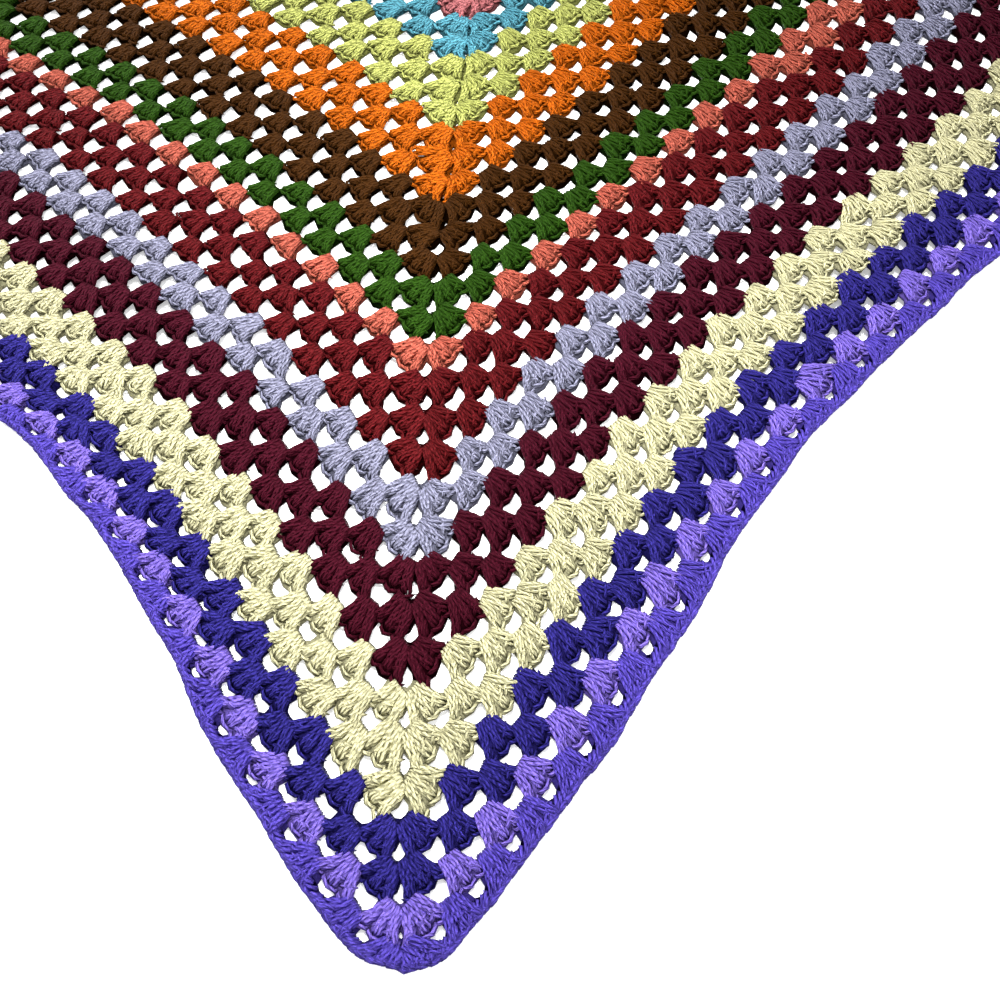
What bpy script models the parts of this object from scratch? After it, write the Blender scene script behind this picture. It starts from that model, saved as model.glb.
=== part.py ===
"""A crocheted granny square afghan, laid out flat on a surface.

The cloth is one solid. It is drawn first as an even square of rounds, then every point is moved
to where the cloth really lies: the near corner is pulled long and narrow, the rounds bow, and the
edge is a little wavy. Metres, +Z up, the near corner points along -Y. The origin is the middle of
the square, on its flat underside.
"""
import math

import bmesh
import bpy
import numpy as np
from mathutils import Vector
from mathutils.geometry import delaunay_2d_cdt

# The even square
ROUND = 0.015           # how much one round adds to the half width
ROUNDS = 32             # rounds of clusters, counted from the middle
EDGING = 0.1            # how far the dense edging reaches past the last round, in rounds
CORNER_RADIUS = 2.7     # of the rounded corners, in rounds
CORNER_POINTS = 5       # steps round each corner
EDGE_STEP = 1.5         # distance between points along the outer edge, in rounds
BAND_STEP = 4.0         # distance between points along a colour change, in rounds

# The cloth
THICK = 0.0048          # between the gaps
THICK_AT_GAP = 0.0036   # at the rim of a gap
THICK_AT_EDGE = 0.0042  # along the outer edge
UNEVEN = 0.0005         # how much the thickness wanders
UNEVEN_WAVES = ((61.0, 17.0), (-23.0, 53.0))    # how fast it does, per metre of x and of y

# The gaps between clusters: one in eight is cut, on a square grid of every fourth round
GAP_EVERY = 4
GAP_FIRST = 2
GAP_WIDE = 0.0126       # along the round
GAP_DEEP = 0.0092       # across the round
CORNER_GAP = 0.62       # size of a gap on a diagonal, beside the others
# Half outline of a gap, as shares of its width and depth: wide on the inner side, narrow outward
GAP_SHAPE = ((0.40, -0.50), (0.50, -0.15), (0.28, 0.50))

# Where the cloth lies. One row for a place along the near diagonal, counted in rounds:
# reach and shift in metres, left and right as shares of the even width, the bows per metre
LIE_COLUMNS = ("round", "reach", "shift", "left", "right", "bow_left", "bow_right")
LIE = np.array((
    (-33, -0.700, 0.000, 1.000, 1.000, 0.00, 0.00),
    (0, 0.000, 0.000, 1.120, 0.910, -0.25, 0.25),
    (8, 0.172, -0.024, 1.030, 0.925, 0.03, -0.03),
    (16, 0.347, -0.047, 0.935, 0.860, 0.33, -0.04),
    (22, 0.491, -0.059, 0.850, 0.810, 1.12, 0.26),
    (28, 0.627, -0.070, 0.850, 0.845, 2.45, 0.23),
    (33, 0.722, -0.072, 0.860, 0.845, 2.40, 0.17),
))
BOW_REACH = 0.33        # past this distance from the diagonal the bow levels out

# How the outer edge lies off the even line: drawn in or out, and in two waves, on each side.
# The part of the cloth that follows it grows from nothing at RIM_FROM, a share of the half width
RIM_FROM = 0.9
WAVE_LONG = 0.155
WAVE_SHORT = 0.085
RIM_COLUMNS = ("out", "long", "long_start", "short", "short_start")
RIM = {
    "near_left": (-0.0024, 0.0000, 0.0, 0.0014, 1.9),
    "near_right": (0.0000, 0.0000, 0.0, 0.0008, 1.8),
    "far_left": (0.0000, 0.0022, 3.8, 0.0013, 5.4),
    "far_right": (0.0000, 0.0022, 0.0, 0.0013, 0.0),
}

# Low swells where the cloth stands a little off the surface: middle, half sizes and height
SWELL_COLUMNS = ("x", "y", "half_long", "half_wide", "turn", "height")
SWELLS = (
    (0.215, -0.330, 0.150, 0.052, 50.0, 0.0055),
    (-0.225, -0.300, 0.130, 0.045, -50.0, 0.0040),
    (-0.120, 0.250, 0.170, 0.060, 35.0, 0.0050),
    (0.250, 0.180, 0.140, 0.050, -40.0, 0.0045),
)

# The yarns: name, last round worked in it, colour
YARNS = (
    ("pink", 3, (0.830, 0.290, 0.300)),
    ("sky_blue", 5, (0.130, 0.470, 0.600)),
    ("lime", 8, (0.620, 0.720, 0.190)),
    ("orange", 11, (0.850, 0.200, 0.030)),
    ("brown", 14, (0.075, 0.026, 0.008)),
    ("green", 16, (0.035, 0.125, 0.020)),
    ("coral", 17, (0.800, 0.150, 0.110)),
    ("dark_red", 20, (0.160, 0.012, 0.012)),
    ("lavender", 22, (0.330, 0.330, 0.470)),
    ("burgundy", 25, (0.080, 0.006, 0.018)),
    ("cream", 28, (0.800, 0.740, 0.420)),
    ("indigo", 30, (0.045, 0.020, 0.190)),
    ("lilac", 31, (0.240, 0.120, 0.600)),
    ("violet", 32, (0.100, 0.045, 0.380)),
)
YARN_ROUGHNESS = 0.9

SAME_POINT = 1e-7       # points of the flat net that are nearer are one

HALF = (ROUNDS + 0.5 + EDGING) * ROUND
DIAGONAL_STEP = ROUND * math.sqrt(2.0)


def clear_scene():
    """Start from an empty scene."""
    for old in list(bpy.data.objects):
        bpy.data.objects.remove(old, do_unlink=True)


def lie_value(column, place):
    """Read one column of the lie table at a place along the near diagonal, as a smooth curve."""
    rows = LIE[:, 0]
    values = LIE[:, LIE_COLUMNS.index(column)]
    slopes = np.gradient(values, rows)
    k = int(np.clip(np.searchsorted(rows, place) - 1, 0, len(rows) - 2))
    span = rows[k + 1] - rows[k]
    s = (place - rows[k]) / span
    start = (1 + 2 * s) * (1 - s) ** 2 * values[k] + s * (1 - s) ** 2 * span * slopes[k]
    end = s * s * (3 - 2 * s) * values[k + 1] + s * s * (s - 1) * span * slopes[k + 1]
    return float(start + end)


def wavy_edge(p, q):
    """Move a point near the outer edge a little in or out, further in it stays."""
    out = max(abs(p), abs(q)) / HALF
    weight = max(0.0, (out - RIM_FROM) / (1 - RIM_FROM)) ** 2
    along = q if abs(p) > abs(q) else p
    side = ("near" if p + q > 0 else "far") + ("_left" if p < q else "_right")
    rim = dict(zip(RIM_COLUMNS, RIM[side]))
    wave = rim["out"]
    wave += rim["long"] * math.sin(2 * math.pi * along / WAVE_LONG + rim["long_start"])
    wave += rim["short"] * math.sin(2 * math.pi * along / WAVE_SHORT + rim["short_start"])
    grow = 1 + weight * wave / HALF
    return p * grow, q * grow


def lay(p, q):
    """Take a point of the even square to where it lies: p and q run along the square's sides."""
    p, q = wavy_edge(p, q)
    across = (p - q) / (2 * ROUND) * DIAGONAL_STEP
    place = (p + q) / (2 * ROUND)
    left = across < 0
    width = lie_value("left" if left else "right", place)
    bow = lie_value("bow_left" if left else "bow_right", place)
    bent = BOW_REACH ** 2 * math.tanh((across / BOW_REACH) ** 2)
    x = lie_value("shift", place) + across * width
    y = bow * bent - lie_value("reach", place)
    return x, y


def swell_height(x, y):
    """How far the cloth stands off the surface at a place."""
    height = 0.0
    for row in SWELLS:
        swell = dict(zip(SWELL_COLUMNS, row))
        turn = math.radians(swell["turn"])
        dx = x - swell["x"]
        dy = y - swell["y"]
        along = (dx * math.cos(turn) + dy * math.sin(turn)) / swell["half_long"]
        wide = (dy * math.cos(turn) - dx * math.sin(turn)) / swell["half_wide"]
        inside = 1.0 - along * along - wide * wide
        if inside > 0.0:
            height += swell["height"] * inside * inside
    return height


def thickness(kind, x, y):
    """Cloth thickness at a point of the given kind: band, gap or edge."""
    base = {"band": THICK, "gap": THICK_AT_GAP, "edge": THICK_AT_EDGE}[kind]
    wander = math.prod(math.sin(per_x * x + per_y * y) for per_x, per_y in UNEVEN_WAVES)
    return base + UNEVEN * wander


def edge_loop():
    """Points of the outer edge of the even square: one side and corner, turned four times."""
    radius = CORNER_RADIUS * ROUND
    reach = HALF - radius
    count = max(1, round(2 * reach / (EDGE_STEP * ROUND)))
    side = [(HALF, -reach + 2 * reach * k / count) for k in range(count + 1)]
    for k in range(1, CORNER_POINTS):
        turned = math.pi / 2 * k / CORNER_POINTS
        side.append((reach + radius * math.cos(turned), reach + radius * math.sin(turned)))
    loop = []
    for turn in range(4):
        for p, q in side:
            for _ in range(turn):
                p, q = -q, p
            loop.append((p, q))
    return loop


def band_loop(last_round):
    """Points of the square line where one yarn ends and the next begins."""
    reach = (last_round + 0.5) * ROUND
    count = max(1, round(2 * reach / (BAND_STEP * ROUND)))
    loop = []
    for turn in range(4):
        for k in range(count):
            p, q = reach, -reach + 2 * reach * k / count
            for _ in range(turn):
                p, q = -q, p
            loop.append((p, q))
    return loop


def gap_loop(p, q):
    """The rounded triangle of one gap: narrow end outward, turned round on the diagonals."""
    outward = Vector((p, 0.0)) if abs(p) > abs(q) else Vector((0.0, q))
    size = 1.0
    if abs(abs(p) - abs(q)) < ROUND / 2:
        outward = Vector((-p, -q))
        size = CORNER_GAP
    outward.normalize()
    sideways = Vector((-outward.y, outward.x))
    half = [(w * GAP_WIDE * size, d * GAP_DEEP * size) for w, d in GAP_SHAPE]
    outline = half + [(-w, d) for w, d in reversed(half)]
    middle = Vector((p, q))
    points = [middle + sideways * w + outward * d for w, d in outline]
    return [(point.x, point.y) for point in points]


def gap_middles():
    """Places of the cut gaps: every fourth round, and every fourth round's width along it."""
    last = ROUNDS - (ROUNDS - GAP_FIRST) % GAP_EVERY
    line = [k * ROUND for k in range(-last, last + 1, GAP_EVERY)]
    return [(p, q) for p in line for q in line]


def flat_net():
    """Triangles of the even square: its points, their kinds and the faces without the gaps."""
    loops = [("edge", edge_loop())]
    loops += [("band", band_loop(last)) for _, last, _ in YARNS[:-1]]
    loops += [("gap", gap_loop(p, q)) for p, q in gap_middles()]
    points = [Vector((0.0, 0.0))]
    owner = [("band", -1)]
    edges = []
    for number, (kind, loop) in enumerate(loops):
        first = len(points)
        points += [Vector(point) for point in loop]
        owner += [(kind, number)] * len(loop)
        edges += [(first + k, first + (k + 1) % len(loop)) for k in range(len(loop))]
    coords, _, faces, sources, _, _ = delaunay_2d_cdt(points, edges, [], 0, SAME_POINT)
    kinds = [owner[source[0]] for source in sources]
    kept = [face for face in faces if not in_one_gap(face, kinds)]
    return coords, [kind for kind, _ in kinds], kept


def in_one_gap(face, kinds):
    """Whether a triangle lies inside a gap: then all its corners are on that gap's rim."""
    owners = {kinds[corner] for corner in face}
    return len(owners) == 1 and kinds[face[0]][0] == "gap"


def yarn_index(face, coords):
    """Which yarn a face of the even square is worked in, from its distance to the middle."""
    middle = sum((coords[corner] for corner in face), Vector((0.0, 0.0))) / len(face)
    distance = max(abs(middle.x), abs(middle.y)) / ROUND
    for index, (_, last, _) in enumerate(YARNS):
        if distance < last + 0.5:
            return index
    return len(YARNS) - 1


def yarn_material(name, colour):
    """Plain yarn of one colour."""
    material = bpy.data.materials.new(name)
    material.use_nodes = True
    shader = material.node_tree.nodes["Principled BSDF"]
    shader.inputs["Base Color"].default_value = (*colour, 1.0)
    shader.inputs["Roughness"].default_value = YARN_ROUGHNESS
    shader.inputs["Metallic"].default_value = 0.0
    return material


def make_afghan():
    """Build the cloth: an upper and a lower net, joined along the edge and round each gap."""
    coords, kinds, faces = flat_net()
    bm = bmesh.new()
    lower = []
    upper = []
    for (p, q), kind in zip(coords, kinds):
        x, y = lay(p, q)
        base = swell_height(x, y)
        lower.append(bm.verts.new((x, y, base)))
        upper.append(bm.verts.new((x, y, base + thickness(kind, x, y))))
    border = {}
    for face in faces:
        index = yarn_index(face, coords)
        bm.faces.new([upper[k] for k in face]).material_index = index
        bm.faces.new([lower[k] for k in reversed(face)]).material_index = index
        for a, b in zip(face, face[1:] + face[:1]):
            border[(a, b)] = index
    for (a, b), index in border.items():
        if (b, a) not in border:
            bm.faces.new((upper[b], upper[a], lower[a], lower[b])).material_index = index
    bmesh.ops.triangulate(bm, faces=[face for face in bm.faces if len(face.verts) > 3])
    bmesh.ops.recalc_face_normals(bm, faces=bm.faces)
    mesh = bpy.data.meshes.new("afghan")
    bm.to_mesh(mesh)
    bm.free()
    for name, _, colour in YARNS:
        mesh.materials.append(yarn_material(name, colour))
    afghan = bpy.data.objects.new("afghan", mesh)
    bpy.context.scene.collection.objects.link(afghan)
    return afghan


clear_scene()
make_afghan()
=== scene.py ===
"""The looks of a crocheted granny square afghan, laid out flat: every cluster in real yarn.

The cloth is drawn first as an even square of rounds, in the coordinates p and q along its sides,
and each point is then taken to where the cloth lies, by the same rule as the solid follows.
Metres, +Z up. The near corner points along -Y.
"""
import math

import bpy
import numpy as np
from mathutils import Matrix, Vector


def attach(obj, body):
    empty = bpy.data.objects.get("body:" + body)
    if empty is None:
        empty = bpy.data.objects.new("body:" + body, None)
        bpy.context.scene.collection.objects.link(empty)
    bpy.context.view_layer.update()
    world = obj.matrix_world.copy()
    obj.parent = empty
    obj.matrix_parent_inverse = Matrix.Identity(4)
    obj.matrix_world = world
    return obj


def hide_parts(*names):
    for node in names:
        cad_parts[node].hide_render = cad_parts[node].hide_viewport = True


# The even square, as in the solid
ROUND = 0.015
ROUNDS = 32
EDGING = 0.1
CORNER_RADIUS = 2.7 * ROUND
HALF = (ROUNDS + 0.5 + EDGING) * ROUND
DIAGONAL_STEP = ROUND * math.sqrt(2.0)

# Where the cloth lies, as in the solid
LIE_COLUMNS = ("round", "reach", "shift", "left", "right", "bow_left", "bow_right")
LIE = np.array((
    (-33, -0.700, 0.000, 1.000, 1.000, 0.00, 0.00),
    (0, 0.000, 0.000, 1.120, 0.910, -0.25, 0.25),
    (8, 0.172, -0.024, 1.030, 0.925, 0.03, -0.03),
    (16, 0.347, -0.047, 0.935, 0.860, 0.33, -0.04),
    (22, 0.491, -0.059, 0.850, 0.810, 1.12, 0.26),
    (28, 0.627, -0.070, 0.850, 0.845, 2.45, 0.23),
    (33, 0.722, -0.072, 0.860, 0.845, 2.40, 0.17),
))
BOW_REACH = 0.33
RIM_FROM = 0.9
WAVE_LONG = 0.155
WAVE_SHORT = 0.085
RIM_COLUMNS = ("out", "long", "long_start", "short", "short_start")
RIM = {
    "near_left": (-0.0024, 0.0000, 0.0, 0.0014, 1.9),
    "near_right": (0.0000, 0.0000, 0.0, 0.0008, 1.8),
    "far_left": (0.0000, 0.0022, 3.8, 0.0013, 5.4),
    "far_right": (0.0000, 0.0022, 0.0, 0.0013, 0.0),
}
SWELL_COLUMNS = ("x", "y", "half_long", "half_wide", "turn", "height")
SWELLS = (
    (0.215, -0.330, 0.150, 0.052, 50.0, 0.0055),
    (-0.225, -0.300, 0.130, 0.045, -50.0, 0.0040),
    (-0.120, 0.250, 0.170, 0.060, 35.0, 0.0050),
    (0.250, 0.180, 0.140, 0.050, -40.0, 0.0045),
)

# The yarns: slot, last round worked in it, colour
YARNS = (
    ("pink", 3, (0.303, 0.097, 0.102)),
    ("sky_blue", 5, (0.063, 0.211, 0.267)),
    ("lime", 8, (0.299, 0.317, 0.087)),
    ("orange", 11, (0.340, 0.073, 0.004)),
    ("brown", 14, (0.014, 0.005, 0.001)),
    ("green", 16, (0.008, 0.023, 0.002)),
    ("coral", 17, (0.309, 0.070, 0.046)),
    ("dark_red", 20, (0.054, 0.004, 0.005)),
    ("lavender", 22, (0.176, 0.176, 0.246)),
    ("burgundy", 25, (0.021, 0.002, 0.005)),
    ("cream", 28, (0.454, 0.432, 0.258)),
    ("indigo", 30, (0.019, 0.015, 0.125)),
    ("lilac", 31, (0.148, 0.100, 0.432)),
    ("violet", 32, (0.065, 0.044, 0.296)),
)
SLOTS = [slot for slot, _, _ in YARNS]

# The sides of a round are counted from the near right one by way of the near left one
NEAR_RIGHT_SIDE = 0
FAR_RIGHT_SIDE = 3
# Where the maker still had coral left: in the round after it, all along the far right side and from
# this place on along the near right side
LATE_CORAL_ROUND = 18
LATE_CORAL_FIRST = 11

# The columns of the table of clusters: round, side, middle along the side, whether it starts and
# whether it ends the side, and yarn
NUMBER, SIDE, ALONG, STARTS, ENDS, YARN = range(6)

# One double crochet of a cluster, as twisted strands. Along the round, outward from the cluster's
# middle, up and half the twist's width. Along is for the outer two stitches of the three
MM = 0.001
PER_METRE = 1000        # millimetres in a metre
POST = np.array((
    (2.9, -11.2, 1.4, 1.0),
    (3.7, -9.0, 4.5, 1.5),
    (4.6, -4.4, 5.0, 1.8),
    (6.4, 1.2, 4.7, 2.1),
    (8.7, 5.8, 4.4, 2.2),
    (9.8, 8.9, 2.4, 1.6),
)) * MM
POST_TURNS = 0.58
POST_FLAT = 0.55        # height of the twist beside its width
POST_START = 0.6        # how far the twist's start differs, in radians each way
POST_LIFT_SPREAD = 0.00018
POST_WIDE_SPREAD = 0.06

# The yarn wrapped across one stitch, about the stitch's middle
WRAP = np.array((
    (-3.6, -1.6, 2.8),
    (-2.1, 0.4, 5.2),
    (0.2, 2.4, 5.7),
    (2.3, 4.0, 5.0),
    (3.6, 5.8, 2.8),
)) * MM

# The loop on top of one stitch, about the stitch's own middle line
LOOP = np.array((
    (-4.8, 5.2, 2.4),
    (-3.4, 7.8, 4.0),
    (-0.2, 9.2, 3.9),
    (3.2, 8.0, 4.2),
    (4.9, 5.4, 2.2),
)) * MM
# How much the wraps and loops differ: shifts along and outward, and height
SHORT_SHIFT_SPREAD = 0.0004
SHORT_LIFT_SPREAD = 0.0002

# Half the width of a cluster at distances outward from its middle, and on the side of a corner
FAN_COLUMN = np.array((-10.0, -5.0, 0.5, 8.5)) * MM
FAN_HALF = np.array((5.2, 7.2, 9.2, 12.8)) * MM
FAN_CORNER = np.array((5.6, 9.2, 11.4, 15.2)) * MM
# Only these rounds have a hole at each corner: in the others the corner clusters fan out wide
FAN_CLOSED_CORNER = np.array((5.6, 9.2, 12.6, 20.0)) * MM
CORNER_HOLE_ROUNDS = (13, 30)
CORNER_STRAND = 1.10    # radius of a corner cluster's strands beside the others
# How much shorter a corner cluster gets toward the corner: this begins so many steps from the
# cluster's middle and is reached one step further on
CORNER_SHORT = 0.0038
CORNER_SHORT_FROM = 1.2
CORNER_SHORT_STEP = 0.010

WRAP_RADIUS = 0.00134
LOOP_RADIUS = 0.00130
RADIUS_SPREAD = 0.06
STRAND_SIDES = 3
STRAND_TAPER = 0.85     # radius next to a strand's pointed ends beside its full radius
STITCH_RIM_MARGIN = 0.0016
SMALLEST = 1e-9         # keeps a division by a length from failing
# Strands of a stitch and their radius. Clusters that lie further back than this place along the near
# diagonal are seen only small: they have fewer strands and no wraps
NEAR_STRANDS = 5
NEAR_RADIUS = 0.00146
FAR_STRANDS = 3
FAR_RADIUS = 0.00186
NEAR_FROM_PLACE = -4

# The dense edging: slanted short stitches over the rim, and a cord that follows it
EDGE_STITCH = 0.0032
EDGE_STITCH_PATH = np.array((
    (-2.8, -8.2, 2.0),
    (-2.4, -7.0, 4.0),
    (-1.1, -4.8, 4.8),
    (0.4, -2.9, 4.5),
    (1.4, -1.5, 3.6),
    (1.8, -0.9, 1.8),
)) * MM
EDGE_CORD = 0.0056
EDGE_CORD_PATH = np.array((
    (-5.2, -2.2, 2.2),
    (-3.2, -1.4, 3.6),
    (0.0, -0.9, 3.7),
    (3.2, -0.9, 2.9),
    (5.2, -1.5, 1.8),
)) * MM
EDGE_RADIUS = 0.00156
EDGE_SPREAD = 0.00022

# How unevenly the hand worked: waves of small shifts across the cloth
UNEVEN_SEED = 11
UNEVEN_WAVES = 9
UNEVEN_REACH = 0.00055
UNEVEN_LENGTHS = (0.034, 0.085)

# How much each cluster differs: its turn in radians, its size and its shifts
STITCH_SEED = 7
TURN_SPREAD = 0.12
SIZE_SPREAD = 0.045
SHIFT_OUT_SPREAD = 0.0005
SHIFT_ALONG_SPREAD = 0.0006

# Clusters are longer for their width at the near corner and shorter at the left
LONGER_NEAR = 0.05
NEAR_FROM = 12.0        # place along the near diagonal
NEAR_OVER = 12.0
SHORTER_LEFT = 0.06
LEFT_OVER = 0.12        # metres along the rounds

# Size of the gaps beside their usual size: in the middle, what they gain at the left and lose at the
# right, and what both sides lose in the outer rounds
GAP_MIDDLE = 0.98
GAP_GAIN_LEFT = 0.22
GAP_LOSS_RIGHT = 0.14
GAP_OUTER_LOSS_LEFT = 0.58
GAP_OUTER_LOSS_RIGHT = 0.12
GAP_LEFT_OVER = 0.12    # metres across
GAP_RIGHT_OVER = 0.15
GAP_OUTER_FROM = 21.0   # rounds
GAP_OUTER_OVER = 6.0
CLUSTER_YIELDS = 0.42   # how far a cluster shrinks where the gaps are larger

# The camera: where it looks, how far off, its angles and its lens
LOOK_AT = Vector((-0.013, -0.4598, 0.0))
CAMERA_DISTANCE = 0.652
CAMERA_DOWN = math.radians(60.0)
CAMERA_ROLL = math.radians(-4.1)
FOCAL_PIXELS = 1200.0
FRAME_PIXELS = 1000.0
SENSOR = 36.0

# The floor, which gives off a little light of its own so that the gaps stay white
FLOOR_HALF = 4.0
FLOOR_HEIGHT = -0.0002
FLOOR_COLOUR = (0.92, 0.92, 0.92, 1.0)
FLOOR_GLOW = 0.38
FLOOR_ROUGHNESS = 0.95

# The lights: name, place, the point it faces, size, power and the angle its light fans out over
LIGHTS = (
    ("key", (-1.1, 0.9, 2.2), (0.0, -0.2, 0.0), 1.4, 105.0, 180.0),
    ("fill", (1.6, -1.6, 2.2), (0.0, -0.3, 0.0), 2.4, 40.0, 180.0),
    ("over_corner", (0.02, -0.34, 1.3), (0.01, -0.32, 0.0), 0.3, 2.3, 46.0),
)
WHITE = (1.0, 1.0, 1.0, 1.0)
SURROUND_STRENGTH = 1.0


def lie_value(column, place):
    """Read one column of the lie table at places along the near diagonal, as a smooth curve."""
    rows = LIE[:, 0]
    values = LIE[:, LIE_COLUMNS.index(column)]
    slopes = np.gradient(values, rows)
    k = np.clip(np.searchsorted(rows, place) - 1, 0, len(rows) - 2)
    span = rows[k + 1] - rows[k]
    s = (place - rows[k]) / span
    start = (1 + 2 * s) * (1 - s) ** 2 * values[k] + s * (1 - s) ** 2 * span * slopes[k]
    end = s * s * (3 - 2 * s) * values[k + 1] + s * s * (s - 1) * span * slopes[k + 1]
    return start + end


def wavy_edge(p, q):
    """Move points near the outer edge a little in or out, further in they stay."""
    out = np.maximum(np.abs(p), np.abs(q)) / HALF
    weight = np.clip((out - RIM_FROM) / (1 - RIM_FROM), 0.0, None) ** 2
    along = np.where(np.abs(p) > np.abs(q), q, p)
    wave = np.zeros_like(p)
    for side, row in RIM.items():
        rim_row = dict(zip(RIM_COLUMNS, row))
        here = ((p + q > 0) == side.startswith("near")) & ((p < q) == side.endswith("left"))
        long_wave = np.sin(2 * math.pi * along / WAVE_LONG + rim_row["long_start"])
        short_wave = np.sin(2 * math.pi * along / WAVE_SHORT + rim_row["short_start"])
        waved = rim_row["out"] + rim_row["long"] * long_wave + rim_row["short"] * short_wave
        wave = np.where(here, waved, wave)
    grow = 1 + weight * wave / HALF
    return p * grow, q * grow


def swell_height(x, y):
    """How far the cloth stands off the surface."""
    height = np.zeros_like(x)
    for row in SWELLS:
        swell = dict(zip(SWELL_COLUMNS, row))
        turn = math.radians(swell["turn"])
        dx = x - swell["x"]
        dy = y - swell["y"]
        along = (dx * math.cos(turn) + dy * math.sin(turn)) / swell["half_long"]
        wide = (dy * math.cos(turn) - dx * math.sin(turn)) / swell["half_wide"]
        inside = np.clip(1.0 - along * along - wide * wide, 0.0, None)
        height = height + swell["height"] * inside * inside
    return height


def uneven(p, q):
    """Shift points a little, each in step with its neighbours."""
    rng = np.random.default_rng(UNEVEN_SEED)
    moved_p = p
    moved_q = q
    for _ in range(UNEVEN_WAVES):
        heading, pull, phase = rng.uniform(0.0, 2 * math.pi, 3)
        length = rng.uniform(*UNEVEN_LENGTHS)
        wave = np.sin((p * math.cos(heading) + q * math.sin(heading)) * 2 * math.pi / length + phase)
        moved_p = moved_p + UNEVEN_REACH * math.cos(pull) * wave
        moved_q = moved_q + UNEVEN_REACH * math.sin(pull) * wave
    return moved_p, moved_q


def within_rim(p, q, margin):
    """Pull points that pass the rounded outer edge back to it."""
    reach = HALF - CORNER_RADIUS
    radius = CORNER_RADIUS - margin
    over_p = np.clip(np.abs(p) - reach, 0.0, None)
    over_q = np.clip(np.abs(q) - reach, 0.0, None)
    past = np.hypot(over_p, over_q)
    keep = np.where(past > radius, radius / np.maximum(past, radius), 1.0)
    p = np.where(np.abs(p) > reach, np.sign(p) * (reach + over_p * keep), p)
    q = np.where(np.abs(q) > reach, np.sign(q) * (reach + over_q * keep), q)
    return p, q


def lay(points):
    """Take points of the even square, with their heights, to where the cloth lies."""
    p, q = wavy_edge(*uneven(points[..., 0], points[..., 1]))
    across = (p - q) / (2 * ROUND) * DIAGONAL_STEP
    place = (p + q) / (2 * ROUND)
    left = across < 0
    width = np.where(left, lie_value("left", place), lie_value("right", place))
    bow = np.where(left, lie_value("bow_left", place), lie_value("bow_right", place))
    bent = BOW_REACH ** 2 * np.tanh((across / BOW_REACH) ** 2)
    x = lie_value("shift", place) + across * width
    y = bow * bent - lie_value("reach", place)
    return np.stack((x, y, points[..., 2] + swell_height(x, y)), axis=-1)


def turned(p, q, quarter):
    """Turn points of the even square by quarter turns."""
    for _ in range(quarter % 4):
        p, q = -q, p
    return p, q


def turn_to_sides(p, q, side):
    """Turn points that are worked out for the near right side to their own side, in place."""
    for k in range(1, 4):
        here = side == k
        p[here], q[here] = turned(p[here], q[here], k)


def yarn_of(number, side, place):
    """Which yarn the cluster at a place along a side of a round is worked in."""
    late = side == FAR_RIGHT_SIDE or side == NEAR_RIGHT_SIDE and place >= LATE_CORAL_FIRST
    if number == LATE_CORAL_ROUND and late:
        return SLOTS.index("coral")
    return next(k for k, (_, last, _) in enumerate(YARNS) if number <= last)


def clusters():
    """The table of every cluster."""
    rows = []
    for number in range(1, ROUNDS + 1):
        for side in range(4):
            for place in range(number):
                along = (number - 1 - 2 * place) * ROUND
                rows.append((
                    number, side, along, place == 0, place == number - 1,
                    yarn_of(number, side, place),
                ))
    return np.array(rows, float)


def post_strands(rng, count, strands):
    """Paths of the post strands of each cluster: along, out, up."""
    steps = np.linspace(0.0, 1.0, len(POST))
    paths = []
    for stitch in (-1, 0, 1):
        start = rng.uniform(-POST_START, POST_START, count)[:, None]
        lift = rng.normal(0.0, POST_LIFT_SPREAD, (count, 1))
        wide = 1 + rng.normal(0.0, POST_WIDE_SPREAD, (count, 1))
        for strand in range(strands):
            angle = start + 2 * math.pi * (strand / strands + POST_TURNS * steps)
            spread = POST[:, 3] * wide
            along = stitch * POST[:, 0] + spread * np.cos(angle)
            out = np.broadcast_to(POST[:, 1], along.shape)
            up = POST[:, 2] + lift + POST_FLAT * spread * np.sin(angle)
            paths.append(np.stack((along, out, up), axis=-1))
    return np.stack(paths, axis=1)


def copied_strands(path, apart, rng, count):
    """Paths of one short strand for each of the three stitches of each cluster."""
    paths = []
    for stitch in (-1, 0, 1):
        made = np.broadcast_to(path, (count, *path.shape)).copy()
        made[..., :2] += rng.normal(0.0, SHORT_SHIFT_SPREAD, (count, 1, 2))
        made[..., 0] += stitch * apart
        made[..., 2] += rng.normal(0.0, SHORT_LIFT_SPREAD, (count, 1))
        paths.append(made)
    return np.stack(paths, axis=1)


def gap_share(p, q):
    """Size of the gaps at a place beside their usual size: wide to the left, tight further out."""
    across = (p - q) / (2 * ROUND) * DIAGONAL_STEP
    left = np.clip(-across / GAP_LEFT_OVER, 0.0, 1.0)
    right = np.clip(across / GAP_RIGHT_OVER, 0.0, 1.0)
    number = np.maximum(np.abs(p), np.abs(q)) / ROUND
    outer = np.clip((number - GAP_OUTER_FROM) / GAP_OUTER_OVER, 0.0, 1.0)
    inner_share = GAP_MIDDLE + GAP_GAIN_LEFT * left - GAP_LOSS_RIGHT * right
    return inner_share - outer * (GAP_OUTER_LOSS_LEFT * left + GAP_OUTER_LOSS_RIGHT * right)


def cluster_poses(rng, rows):
    """How each cluster sits on its place: its turn, growth, length for its width and shifts."""
    count = len(rows)
    p, q = cluster_middles(rows)
    grown = 1 - CLUSTER_YIELDS * (gap_share(p, q) - 1) + rng.normal(0.0, SIZE_SPREAD, count)
    near = np.clip(((p + q) / (2 * ROUND) - NEAR_FROM) / NEAR_OVER, 0.0, 1.0)
    left = np.clip((q - p) / LEFT_OVER, 0.0, 1.0)
    longer = 1 + LONGER_NEAR * near - SHORTER_LEFT * left * (1 - near)
    turn = rng.normal(0.0, TURN_SPREAD, count)
    shift_out = rng.normal(0.0, SHIFT_OUT_SPREAD, count)
    shift_along = rng.normal(0.0, SHIFT_ALONG_SPREAD, count)
    return turn, grown, longer, shift_out, shift_along


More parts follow.
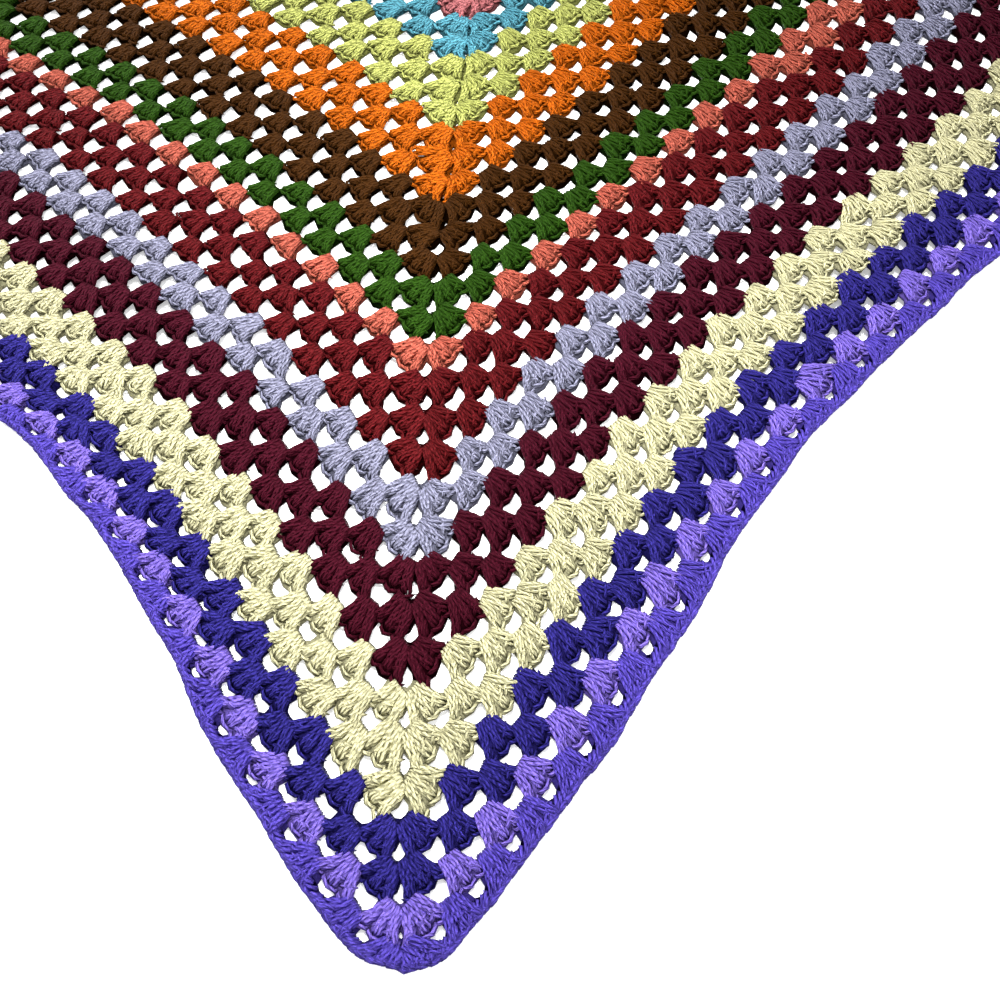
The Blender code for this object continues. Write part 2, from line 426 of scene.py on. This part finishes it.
def cluster_middles(rows):
    """Middles of the clusters on the even square."""
    p = rows[:, NUMBER] * ROUND
    q = rows[:, ALONG].copy()
    turn_to_sides(p, q, rows[:, SIDE])
    return p, q


def has_corner_hole(number):
    """Whether a round has a hole at each of its corners."""
    return (number >= CORNER_HOLE_ROUNDS[0]) & (number <= CORNER_HOLE_ROUNDS[1])


def place_on_cluster(paths, rows, poses):
    """Put local paths, one set for each cluster, on the even square."""
    count = len(rows)
    along = paths[..., 0]
    out = paths[..., 1]
    shape = (count,) + (1,) * (along.ndim - 1)
    turn, grown, longer, shift_out, shift_along = (pose.reshape(shape) for pose in poses)
    along, out = grown * (along - turn * out), grown * longer * (out + turn * along)
    corner = (rows[:, STARTS] - rows[:, ENDS]).reshape(shape)
    half = np.interp(out, FAN_COLUMN, FAN_HALF)
    wider = np.where(has_corner_hole(rows[:, NUMBER]).reshape(shape),
                     np.interp(out, FAN_COLUMN, FAN_CORNER),
                     np.interp(out, FAN_COLUMN, FAN_CLOSED_CORNER))
    fanned = (along * corner + half) * (half + wider) / (2 * half) - half
    short = CORNER_SHORT * np.clip(fanned / CORNER_SHORT_STEP - CORNER_SHORT_FROM, 0.0, 1.0)
    out = out - np.where(corner == 0, 0.0, short)
    along = np.where(corner == 0, along, corner * fanned)
    p = rows[:, NUMBER].reshape(shape) * ROUND + out + shift_out
    q = rows[:, ALONG].reshape(shape) + along + shift_along
    turn_to_sides(p, q, rows[:, SIDE])
    p, q = within_rim(p, q, STITCH_RIM_MARGIN)
    return np.stack((p, q, paths[..., 2]), axis=-1)


def rim(count):
    """Evenly spread places along the outer edge: points of the even square and outward turns."""
    reach = HALF - CORNER_RADIUS
    quarter = 2 * reach + CORNER_RADIUS * math.pi / 2
    run = (np.arange(count) + 0.5) * 4 * quarter / count
    side = (run // quarter).astype(int)
    run = run - side * quarter
    bend = np.clip((run - 2 * reach) / CORNER_RADIUS, 0.0, None)
    straight = np.minimum(run, 2 * reach) - reach
    p = reach + CORNER_RADIUS * np.cos(bend)
    q = straight + CORNER_RADIUS * np.sin(bend)
    turn_to_sides(p, q, side)
    return p, q, bend + side * math.pi / 2


def edge_strands(path, spacing, rng):
    """Copies of one short path all along the outer edge."""
    length = 8 * (HALF - CORNER_RADIUS) + 2 * math.pi * CORNER_RADIUS
    p, q, angle = rim(round(length / spacing))
    local = path + rng.normal(0.0, EDGE_SPREAD, (len(p), 1, 3))
    cos = np.cos(angle)[:, None]
    sin = np.sin(angle)[:, None]
    points = np.empty(local.shape)
    points[..., 0] = p[:, None] + cos * local[..., 1] - sin * local[..., 0]
    points[..., 1] = q[:, None] + sin * local[..., 1] + cos * local[..., 0]
    points[..., 2] = local[..., 2]
    return points


def tubes(paths, radius):
    """Tubes with pointed ends along paths: their points, and the length run at each step."""
    ring = STRAND_SIDES
    count, steps, _ = paths.shape
    ahead = np.gradient(paths, axis=1)
    ahead /= np.linalg.norm(ahead, axis=-1, keepdims=True)
    side = np.cross(ahead, (0.0, 0.0, 1.0))
    side /= np.maximum(np.linalg.norm(side, axis=-1, keepdims=True), SMALLEST)
    upper = np.cross(side, ahead)
    share = np.ones(steps)
    share[1] = share[-2] = STRAND_TAPER
    angle = 2 * math.pi * (np.arange(ring) + 0.5) / ring
    reach = (radius[:, None] * share)[:, 1:-1, None, None]
    across = side[:, 1:-1, None, :] * np.cos(angle)[:, None]
    across = across + upper[:, 1:-1, None, :] * np.sin(angle)[:, None]
    rings = paths[:, 1:-1, None, :] + reach * across
    body = rings.reshape(count, -1, 3)
    points = np.concatenate((body, paths[:, :1], paths[:, -1:]), axis=1)
    length = np.cumsum(np.linalg.norm(np.diff(paths, axis=1), axis=-1), axis=1)
    return points, np.concatenate((np.zeros((count, 1)), length), axis=1)


def tube_faces(steps):
    """Corner numbers and texture places of one tube: (ring step, turn) for each face corner."""
    ring = STRAND_SIDES
    inner = steps - 2
    first = inner * ring
    last = first + 1
    faces = []
    places = []
    for a in range(ring):
        b = (a + 1) % ring
        faces.append((first, b, a))
        places.append(((0, a + 0.5), (1, a + 1), (1, a)))
        for k in range(inner - 1):
            low = k * ring
            high = low + ring
            faces.append((low + a, low + b, high + b, high + a))
            places.append(((k + 1, a), (k + 1, a + 1), (k + 2, a + 1), (k + 2, a)))
        end = (inner - 1) * ring
        faces.append((end + a, end + b, last))
        places.append(((inner, a), (inner, a + 1), (steps - 1, a + 0.5)))
    return faces, places


def strand_mesh(name, groups):
    """One mesh of many tubes. Each group is paths on the even square and the radius of each."""
    points = []
    loops = []
    sizes = []
    uvs = []
    offset = 0
    for paths, radius in groups:
        steps = paths.shape[1]
        body, length = tubes(lay(paths), radius)
        faces, places = tube_faces(steps)
        corners = np.array([corner for face in faces for corner in face])
        step = np.array([place[0] for face in places for place in face])
        turn = np.array([place[1] for face in places for place in face])
        starts = offset + np.arange(len(paths)) * body.shape[1]
        loops.append((starts[:, None] + corners).ravel())
        sizes.append(np.tile([len(face) for face in faces], len(paths)))
        around = np.broadcast_to(turn / STRAND_SIDES, (len(paths), len(turn)))
        uvs.append(np.stack((length[:, step], around), axis=-1).reshape(-1, 2))
        points.append(body.reshape(-1, 3))
        offset += body.shape[0] * body.shape[1]
    return make_mesh(name, np.concatenate(points), np.concatenate(loops),
                     np.concatenate(sizes), np.concatenate(uvs))


def make_mesh(name, points, loops, sizes, uvs=None):
    """A smooth mesh from arrays."""
    mesh = bpy.data.meshes.new(name)
    mesh.vertices.add(len(points))
    mesh.vertices.foreach_set("co", points.astype(np.float32).ravel())
    mesh.loops.add(len(loops))
    mesh.loops.foreach_set("vertex_index", loops.astype(np.int32))
    mesh.polygons.add(len(sizes))
    starts = np.concatenate(([0], np.cumsum(sizes)[:-1]))
    mesh.polygons.foreach_set("loop_start", starts.astype(np.int32))
    mesh.polygons.foreach_set("loop_total", sizes.astype(np.int32))
    mesh.update(calc_edges=True)
    if uvs is not None:
        layer = mesh.uv_layers.new(name="strand")
        layer.data.foreach_set("uv", uvs.astype(np.float32).ravel())
    # Height over the cloth's underside, from which the materials paint shade where yarn lies deep
    height = points[:, 2] - swell_height(points[:, 0], points[:, 1])
    up = mesh.attributes.new("up", "FLOAT", "POINT")
    up.data.foreach_set("value", height.astype(np.float32))
    mesh.validate()
    mesh.shade_smooth()
    return mesh


def add_object(name, mesh):
    """Put a mesh in the scene."""
    made = bpy.data.objects.new(name, mesh)
    bpy.context.scene.collection.objects.link(made)
    return made


def stitch_pieces(rng):
    """The visible yarn: one piece for each colour, the edging with the last."""
    rows = clusters()
    poses = cluster_poses(rng, rows)
    middle = POST[len(POST) // 2, 0]
    near = sum(cluster_middles(rows)) / (2 * ROUND) > NEAR_FROM_PLACE
    anywhere = np.ones(len(rows), bool)
    kinds = (
        (post_strands(rng, len(rows), NEAR_STRANDS), NEAR_RADIUS, near),
        (post_strands(rng, len(rows), FAR_STRANDS), FAR_RADIUS, ~near),
        (copied_strands(WRAP, middle, rng, len(rows)), WRAP_RADIUS, near),
        (copied_strands(LOOP, POST[-2, 0], rng, len(rows)), LOOP_RADIUS, anywhere),
    )
    laid = [(place_on_cluster(paths, rows, poses), radius, where)
            for paths, radius, where in kinds]
    made = []
    for index, (slot, _, colour) in enumerate(YARNS):
        groups = []
        for paths, radius, where in laid:
            here = (rows[:, YARN] == index) & where
            if not here.any():
                continue
            corner = rows[here, STARTS] != rows[here, ENDS]
            each = np.repeat(radius * np.where(corner, CORNER_STRAND, 1.0), paths.shape[1])
            paths = paths[here].reshape(-1, *paths.shape[2:])
            groups.append((paths, each * (1 + rng.normal(0.0, RADIUS_SPREAD, len(paths)))))
        if slot == SLOTS[-1]:
            edging = ((EDGE_STITCH_PATH, EDGE_STITCH), (EDGE_CORD_PATH, EDGE_CORD))
            for path, spacing in edging:
                paths = edge_strands(path, spacing, rng)
                each = EDGE_RADIUS * (1 + rng.normal(0.0, RADIUS_SPREAD, len(paths)))
                groups.append((paths, each))
        piece = add_object(slot + "_stitches", strand_mesh(slot + "_stitches", groups))
        piece.data.materials.append(yarn_material(slot, colour))
        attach(piece, "root")
        made.append(piece)
    return made


# Half widths of a gap seen from its middle, by the angle from outward, in millimetres
GAP_REACH = {0: 4.6, 45: 5.6, 90: 7.2, 135: 10.0, 180: 4.8, 225: 10.0, 270: 7.2, 315: 5.6}
EDGE_GAP_REACH = {0: 1.6, 45: 2.4, 90: 4.2, 135: 7.6, 180: 5.2, 225: 7.6, 270: 4.2, 315: 2.4}
CENTRE_GAP_REACH = 2.0
# Size of the gaps at the corners of a round, with and without a hole there, beside the others
CORNER_GAP_SHARE = 0.66
CLOSED_CORNER_GAP_SHARE = 0.25
# The thin cloth: how far it stays inside the outer edge, and its heights in the middle of a cell,
# in the middle of an outer half cell, at a cell's rim and underneath
CLOTH_RIM_MARGIN = 0.0006
CLOTH_TOP = 0.0054
CLOTH_EDGE_TOP = 0.0030
CLOTH_RIM_TOP = 0.0024
CLOTH_BOTTOM = 0.0004
# Where its cells end at the outer edge, each way from their middle, in rounds
RIM_POINT = 0.4
OUTER_CELL_HALF = 0.6
MICRONS = 1e6           # in a metre. Points of the cloth at the same micron are one point


def gap_point(a, b, angle):
    """One rim point of the gap at (a, b), counted in rounds: angle is from +p, in degrees."""
    p = a * ROUND
    q = b * ROUND
    reaches = EDGE_GAP_REACH if max(abs(a), abs(b)) == ROUNDS else GAP_REACH
    if a == b == 0:
        reach = CENTRE_GAP_REACH
    elif abs(a) == abs(b):
        share = CORNER_GAP_SHARE if has_corner_hole(abs(a)) else CLOSED_CORNER_GAP_SHARE
        reach = reaches[(angle + 360) % 360] * share
    else:
        outward = (0 if a > 0 else 180) if abs(a) > abs(b) else (90 if b > 0 else 270)
        reach = reaches[(angle - outward) % 360]
    reach *= gap_share(p, q)
    turn = math.radians(angle)
    return p + reach / PER_METRE * math.cos(turn), q + reach / PER_METRE * math.sin(turn)


def cell_outline(a, b):
    """Outline of the cloth under the cluster at (a, b), through the rims of its four gaps."""
    outline = []
    for da, db, facing in ((-1, 0, 0), (0, -1, 90), (1, 0, 180), (0, 1, 270)):
        near_a, near_b = a + da, b + db
        if max(abs(near_a), abs(near_b)) > ROUNDS:
            outline += rim_points(a, b, da, db)
        elif abs(near_a) == abs(near_b) == ROUNDS:
            outline.append(corner_point(near_a, near_b))
        else:
            outline += [gap_point(near_a, near_b, facing + turn) for turn in (45, 0, -45)]
    return outline


def rim_points(a, b, da, db):
    """Two points on the outer edge, past a cluster of the last round."""
    points = []
    edge = HALF / ROUND
    for turn in (-RIM_POINT, RIM_POINT):
        along_a, along_b = -db * turn, da * turn
        p = (edge * da if da else a + along_a) * ROUND
        q = (edge * db if db else b + along_b) * ROUND
        points.append((p, q))
    return points


def corner_point(a, b):
    """The middle of the rounded corner."""
    reach = HALF - CORNER_RADIUS * (1 - math.sqrt(0.5))
    return math.copysign(reach, a), math.copysign(reach, b)


def outer_cells():
    """Outlines of the half cells between the last round's gaps and the outer edge."""
    cells = []
    for side in range(4):
        for b in range(-ROUNDS + 2, ROUNDS - 1, 2):
            gap = turned(ROUNDS, b, side)
            points = [gap_point(*gap, turn + 90 * side) for turn in (-45, 0, 45)]
            for along in (b + OUTER_CELL_HALF, b - OUTER_CELL_HALF):
                points.append(turned(HALF, along * ROUND, side))
            cells.append(points)
    return cells


def cloth_mesh():
    """The thin cloth inside the stitches: one closed sheet, open at every gap."""
    cells = []
    for a in range(-ROUNDS, ROUNDS + 1):
        for b in range(-ROUNDS, ROUNDS + 1):
            if (a + b) % 2:
                cells.append((cell_outline(a, b), (a, b)))
    cells += [(outline, None) for outline in outer_cells()]
    found = {}
    points = []
    faces = []
    yarns = []
    for outline, at in cells:
        ring = []
        p, q = within_rim(*np.array(outline).T, CLOTH_RIM_MARGIN)
        for p, q in zip(p, q):
            key = (round(p * MICRONS), round(q * MICRONS))
            if key not in found:
                found[key] = len(points)
                points.append((p, q, CLOTH_RIM_TOP))
            if found[key] not in ring:
                ring.append(found[key])
        middle = len(points)
        p = sum(points[k][0] for k in ring) / len(ring)
        q = sum(points[k][1] for k in ring) / len(ring)
        points.append((p, q, CLOTH_EDGE_TOP if at is None else CLOTH_TOP))
        yarn = cell_yarn(at)
        for a, b in zip(ring, ring[1:] + ring[:1]):
            faces.append((middle, a, b))
            yarns.append(yarn)
    return close_sheet(np.array(points), faces, yarns)


def cell_yarn(at):
    """The yarn of the cluster over a cell."""
    if at is None:
        return len(YARNS) - 1
    a, b = at
    number = max(abs(a), abs(b))
    side = next(k for k in range(4) if turned(a, b, -k)[0] == number)
    along = turned(a, b, -side)[1]
    return yarn_of(number, side, (number - 1 - along) // 2)


def close_sheet(points, faces, yarns):
    """Give an open sheet its underside and the walls along its edges."""
    count = len(points)
    lower = points.copy()
    lower[:, 2] = CLOTH_BOTTOM
    seen = {}
    for face, yarn in zip(faces, yarns):
        for a, b in zip(face, face[1:] + face[:1]):
            seen[(a, b)] = yarn
    every = list(faces)
    every += [tuple(count + k for k in reversed(face)) for face in faces]
    material = list(yarns) + list(yarns)
    for (a, b), yarn in seen.items():
        if (b, a) not in seen:
            every.append((b, a, count + a, count + b))
            material.append(yarn)
    loops = np.array([corner for face in every for corner in face])
    sizes = np.array([len(face) for face in every])
    mesh = make_mesh("afghan_cloth", lay(np.concatenate((points, lower))), loops, sizes)
    mesh.polygons.foreach_set("material_index", np.array(material, np.int32))
    return mesh


# Fine plies round a strand, the length of one turn of them, and how far they wander
PLY_LINES = 5.0
PLY_PITCH = 0.022
PLY_WANDER = 1.8
PLY_WANDER_SCALE = 220.0
# Fibres: how many a metre along a strand, and how closely they lie across it
FIBRES_ALONG = 450.0
FIBRE_SCALE = 1.3
FINE_DETAIL = 3.0       # of the fibres' and the fuzz's noise
FIBRE_RELIEF = 0.6      # beside the relief of the plies
PLY_RELIEF = 0.0005
BLOTCH_SCALE = 60.0
# Brightness of the yarn's colour: its middle, what plies, fibres, blotches and strands change, and
# the least. What the plies change is painted shade in the grooves between them; what the fibres
# change is fibre tone, and on the dark dyes also painted highlights and shaded pits
SHADE_MIDDLE = 0.75
CREST_SHADE = 0.42
CREST_MEAN = 0.637
FIBRE_SHADE = 1.50
FIBRE_MEAN = 0.5
BLOTCH_SHADE = 0.24
STRAND_SHADE = 0.16
SHADE_LEAST = 0.05
YARN_ROUGHNESS = 0.70
YARN_SPECULAR = 0.25
YARN_SHEEN = 0.03
SHEEN_ROUGHNESS = 0.5
# The cloth between the stitches, a darker copy of the yarn as painted shade: its fine fuzz, its
# brightness and its relief
INNER_FUZZ_SCALE = 900.0
INNER_FUZZ_SHADE = 0.9
INNER_SHADE = 0.10
INNER_RELIEF = 0.6
INNER_ROUGHNESS = 0.9
# Heights over the cloth's underside between which yarn turns from painted shade, where it lies deep
# between the strands, to its full colour
DEEP = 0.0020
HIGH = 0.0054
# How light the painted shade leaves yarn where it lies deep, and how strong its lines are, for the
# darkest dye and for the lightest
DEEP_SHADE = (0.08, 0.58)
# The strong lines of the dark dyes are partly painted highlights and shaded pits
LINE_CONTRAST = (2.60, 0.60)
LIGHTEST = 0.48         # a dye whose strongest channel reaches this counts as the lightest


def new_material(name):
    """A new node material, its tree and its shader."""
    material = bpy.data.materials.new(name)
    material.use_nodes = True
    tree = material.node_tree
    return material, tree, tree.nodes["Principled BSDF"]


def math_node(tree, operation, first, second=None, third=None):
    """A math node whose inputs are sockets or numbers, and its result."""
    node = tree.nodes.new("ShaderNodeMath")
    node.operation = operation
    for place, value in enumerate((first, second, third)):
        if value is None:
            continue
        if isinstance(value, (int, float)):
            node.inputs[place].default_value = value
        else:
            tree.links.new(value, node.inputs[place])
    return node.outputs[0]


def noise_node(tree, vector, scale, detail=2.0):
    """A noise texture's value."""
    node = tree.nodes.new("ShaderNodeTexNoise")
    node.inputs["Scale"].default_value = scale
    node.inputs["Detail"].default_value = detail
    tree.links.new(vector, node.inputs["Vector"])
    return node.outputs[0]


def by_dye(colour, ends):
    """Between two values, by how light the dye is."""
    return ends[0] + (ends[1] - ends[0]) * math.sqrt(min(1.0, max(colour) / LIGHTEST))


def painted_depth_shade(tree, colour):
    """Painted shade: darker where the yarn lies deep in the cloth, where shade falls between the
    strands and at the gaps' rims.
    """
    height = tree.nodes.new("ShaderNodeAttribute")
    height.attribute_name = "up"
    depth = tree.nodes.new("ShaderNodeMapRange")
    depth.interpolation_type = "SMOOTHSTEP"
    depth.inputs["From Min"].default_value = DEEP
    depth.inputs["From Max"].default_value = HIGH
    depth.inputs["To Min"].default_value = by_dye(colour, DEEP_SHADE)
    depth.inputs["To Max"].default_value = 1.0
    tree.links.new(height.outputs["Fac"], depth.inputs["Value"])
    return depth.outputs["Result"]


def link_relief(tree, shader, height, strength):
    """Let a height drive the shader's relief."""
    bump = tree.nodes.new("ShaderNodeBump")
    bump.inputs["Strength"].default_value = strength
    bump.inputs["Distance"].default_value = PLY_RELIEF
    tree.links.new(height, bump.inputs["Height"])
    tree.links.new(bump.outputs[0], shader.inputs["Normal"])


def link_colour(tree, shader, colour, shade):
    """Let a brightness scale the colour that the shader gets."""
    tint = tree.nodes.new("ShaderNodeVectorMath")
    tint.operation = "SCALE"
    tint.inputs[0].default_value = colour
    tree.links.new(shade, tint.inputs["Scale"])
    tree.links.new(tint.outputs[0], shader.inputs["Base Color"])


def yarn_material(slot, colour):
    """Plied yarn: fine plies that wind round each strand, fibres, uneven dye and a soft fuzz, with
    painted shade in the ply grooves and where the yarn lies deep, and painted highlights on the dark
    dyes' fibres.
    """
    material, tree, shader = new_material(slot + "_yarn")
    coords = tree.nodes.new("ShaderNodeTexCoord")
    split = tree.nodes.new("ShaderNodeSeparateXYZ")
    tree.links.new(coords.outputs["UV"], split.inputs[0])
    along = split.outputs["X"]
    around = math_node(tree, "MULTIPLY", split.outputs["Y"], PLY_LINES)
    wander = noise_node(tree, coords.outputs["Object"], PLY_WANDER_SCALE)
    phase = math_node(tree, "MULTIPLY_ADD", along, PLY_LINES / PLY_PITCH, around)
    phase = math_node(tree, "MULTIPLY_ADD", wander, PLY_WANDER, phase)
    turns = math_node(tree, "MULTIPLY", phase, math.pi)
    crest = math_node(tree, "ABSOLUTE", math_node(tree, "SINE", turns))
    fibres_at = tree.nodes.new("ShaderNodeCombineXYZ")
    tree.links.new(math_node(tree, "MULTIPLY", along, FIBRES_ALONG), fibres_at.inputs["X"])
    tree.links.new(phase, fibres_at.inputs["Y"])
    fibres = noise_node(tree, fibres_at.outputs[0], FIBRE_SCALE, FINE_DETAIL)
    blotches = noise_node(tree, coords.outputs["Object"], BLOTCH_SCALE)
    relief = math_node(tree, "MULTIPLY_ADD", fibres, FIBRE_RELIEF, crest)
    link_relief(tree, shader, relief, 1.0)
    strand = tree.nodes.new("ShaderNodeNewGeometry").outputs["Random Per Island"]
    contrast = by_dye(colour, LINE_CONTRAST)
    # Painted shade in the grooves between plies, and fibre tone that on the dark dyes is partly
    # painted highlights and shaded pits
    crests = CREST_SHADE * contrast
    fuzz = FIBRE_SHADE * contrast
    base = SHADE_MIDDLE - CREST_MEAN * crests - FIBRE_MEAN * fuzz
    shade = math_node(tree, "MULTIPLY_ADD", crest, crests, base)
    shade = math_node(tree, "MULTIPLY_ADD", fibres, fuzz, shade)
    shade = math_node(tree, "MULTIPLY_ADD", blotches, BLOTCH_SHADE, shade)
    shade = math_node(tree, "MULTIPLY_ADD", strand, STRAND_SHADE, shade)
    shade = math_node(tree, "MAXIMUM", shade, SHADE_LEAST)
    # The colour, with painted shade where the yarn lies deep
    link_colour(tree, shader, colour, math_node(tree, "MULTIPLY", shade, painted_depth_shade(tree, colour)))
    bright = [c / max(colour) for c in colour]
    shader.inputs["Roughness"].default_value = YARN_ROUGHNESS
    shader.inputs["Specular IOR Level"].default_value = YARN_SPECULAR
    shader.inputs["Specular Tint"].default_value = (*bright, 1.0)
    shader.inputs["Sheen Weight"].default_value = YARN_SHEEN
    shader.inputs["Sheen Roughness"].default_value = SHEEN_ROUGHNESS
    shader.inputs["Sheen Tint"].default_value = (*bright, 1.0)
    return material


def painted_shade_cloth_material(slot, colour):
    """Painted shade: a darker copy of the yarn, seen between the stitches."""
    material, tree, shader = new_material(slot + "_inner_painted_shade")
    coords = tree.nodes.new("ShaderNodeTexCoord")
    fuzz = noise_node(tree, coords.outputs["Object"], INNER_FUZZ_SCALE, FINE_DETAIL)
    shade = math_node(tree, "MULTIPLY_ADD", fuzz, INNER_FUZZ_SHADE, INNER_SHADE)
    link_colour(tree, shader, colour, math_node(tree, "MULTIPLY", shade, painted_depth_shade(tree, colour)))
    link_relief(tree, shader, fuzz, INNER_RELIEF)
    shader.inputs["Roughness"].default_value = INNER_ROUGHNESS
    shader.inputs["Specular IOR Level"].default_value = 0.0
    return material


def make_cloth():
    """The one sheet that carries every stitch, coloured in darker copies of the yarns as painted
    shade.
    """
    cloth = add_object("afghan_cloth", cloth_mesh())
    for slot, _, colour in YARNS:
        cloth.data.materials.append(painted_shade_cloth_material(slot, colour))
    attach(cloth, "root")
    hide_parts("afghan")
    return cloth


def make_floor():
    """A plain pale floor."""
    reach = FLOOR_HALF
    corners = np.array(((-reach, -reach), (reach, -reach), (reach, reach), (-reach, reach)))
    points = np.column_stack((corners, np.full(4, FLOOR_HEIGHT)))
    floor = add_object("floor", make_mesh("floor", points, np.arange(4), np.array([4])))
    material, _, shader = new_material("floor_pale")
    shader.inputs["Base Color"].default_value = FLOOR_COLOUR
    shader.inputs["Emission Color"].default_value = WHITE
    shader.inputs["Emission Strength"].default_value = FLOOR_GLOW
    shader.inputs["Roughness"].default_value = FLOOR_ROUGHNESS
    shader.inputs["Specular IOR Level"].default_value = 0.0
    floor.data.materials.append(material)


def make_light(name, place, target, size, power, spread):
    """A soft square light that faces a point."""
    light = bpy.data.lights.new(name, "AREA")
    light.shape = "SQUARE"
    light.size = size
    light.energy = power
    light.spread = math.radians(spread)
    lamp = bpy.data.objects.new(name, light)
    lamp.location = place
    lamp.rotation_euler = (Vector(target) - Vector(place)).to_track_quat("-Z", "Y").to_euler()
    bpy.context.scene.collection.objects.link(lamp)


def make_lights():
    """Soft studio light: a large key from behind left, a fill, a lamp over the near corner that
    fades to the sides, and an even surround."""
    for row in LIGHTS:
        make_light(*row)
    world = bpy.data.worlds.new("surround")
    world.use_nodes = True
    background = world.node_tree.nodes["Background"]
    background.inputs["Color"].default_value = WHITE
    background.inputs["Strength"].default_value = SURROUND_STRENGTH
    bpy.context.scene.world = world


def make_camera():
    """The photograph's view of the near corner, from above."""
    forward = Vector((0.0, math.cos(CAMERA_DOWN), -math.sin(CAMERA_DOWN)))
    right = Vector((1.0, 0.0, 0.0))
    upward = right.cross(forward)
    level = right * math.cos(CAMERA_ROLL) + upward * math.sin(CAMERA_ROLL)
    rolled = upward * math.cos(CAMERA_ROLL) - right * math.sin(CAMERA_ROLL)
    data = bpy.data.cameras.new("camera")
    data.sensor_width = SENSOR
    data.lens = FOCAL_PIXELS / FRAME_PIXELS * SENSOR
    camera = bpy.data.objects.new("camera", data)
    turn = Matrix((level, rolled, -forward)).transposed()
    camera.matrix_world = Matrix.Translation(LOOK_AT - forward * CAMERA_DISTANCE) @ turn.to_4x4()
    bpy.context.scene.collection.objects.link(camera)
    bpy.context.scene.camera = camera


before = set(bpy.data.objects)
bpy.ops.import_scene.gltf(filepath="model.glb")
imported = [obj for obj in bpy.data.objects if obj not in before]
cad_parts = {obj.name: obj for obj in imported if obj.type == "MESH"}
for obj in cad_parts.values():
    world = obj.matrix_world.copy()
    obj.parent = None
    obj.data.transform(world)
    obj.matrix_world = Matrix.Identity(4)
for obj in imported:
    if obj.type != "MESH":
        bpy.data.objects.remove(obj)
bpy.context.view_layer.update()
make_camera()
bpy.context.scene.view_settings.view_transform = "Standard"
cloth = make_cloth()
stitches = stitch_pieces(np.random.default_rng(STITCH_SEED))
make_floor()
make_lights()
